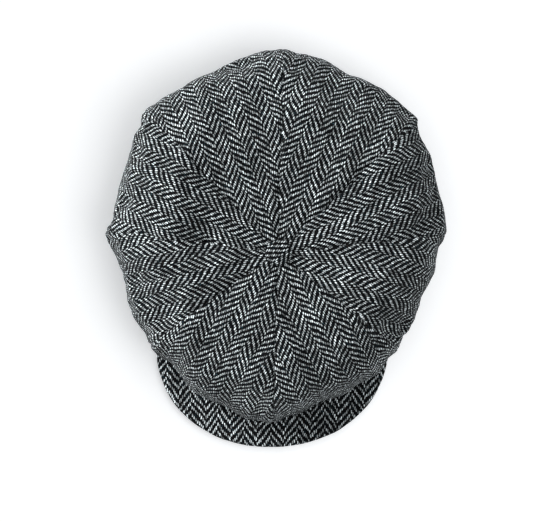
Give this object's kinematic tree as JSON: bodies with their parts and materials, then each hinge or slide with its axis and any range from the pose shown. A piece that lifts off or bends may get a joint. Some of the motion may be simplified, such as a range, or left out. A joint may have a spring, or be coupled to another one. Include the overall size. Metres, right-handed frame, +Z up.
{
  "type": "newsboy cap",
  "caption": "Soft newsboy cap in herringbone tweed: full panelled crown with a covered button, headband, lining and a stiffened peak that snaps under the front.",
  "frame": {"origin": "middle of the cap's footprint, on the surface that the headband stands on", "axes": "+X to the wearer's right, +Y to the back of the cap, +Z up through the button; the peak points along -Y"},
  "size_m": [0.268, 0.3199, 0.0978],
  "materials": {
    "tweed": "woven wool herringbone, matt with loose fibre",
    "steel": "pressed sheet, satin",
    "stay_cloth": "plain cotton drill",
    "canvas": "stiff interlining canvas",
    "leather": "smooth dark leather, fine grain",
    "satin": "smooth satin lining",
    "label_weave": "plain woven label with no lettering",
    "board": "flexible moulded sheet",
    "snap_metal": "gunmetal plated brass"
  },
  "bodies": {
    "cap": {"panel_back_right": "tweed", "panel_side_back_right": "tweed", "panel_side_front_right": "tweed", "panel_front_right": "tweed", "panel_front_left": "tweed", "panel_side_front_left": "tweed", "panel_side_back_left": "tweed", "panel_back_left": "tweed", "button_cover": "tweed", "button_shell": "steel", "button_back": "steel", "crown_patch": "stay_cloth", "headband_outer": "tweed", "headband_canvas": "canvas", "sweatband": "leather", "sweatband_tab": "leather", "lining_tip": "satin", "lining_side": "satin", "lining_label": "label_weave", "snap_socket": "snap_metal"},
    "peak": {"peak_top_cover": "tweed", "peak_under_cover": "tweed", "peak_board": "board", "snap_stud": "snap_metal"}
  },
  "joints": [
    {"name": "peak_flex", "type": "hinge", "parent": "cap", "child": "peak", "pos_m": [0, -0.04652, 0.0048], "axis": [1, 0, 0], "range_deg": [0, 4.5]}
  ]
}
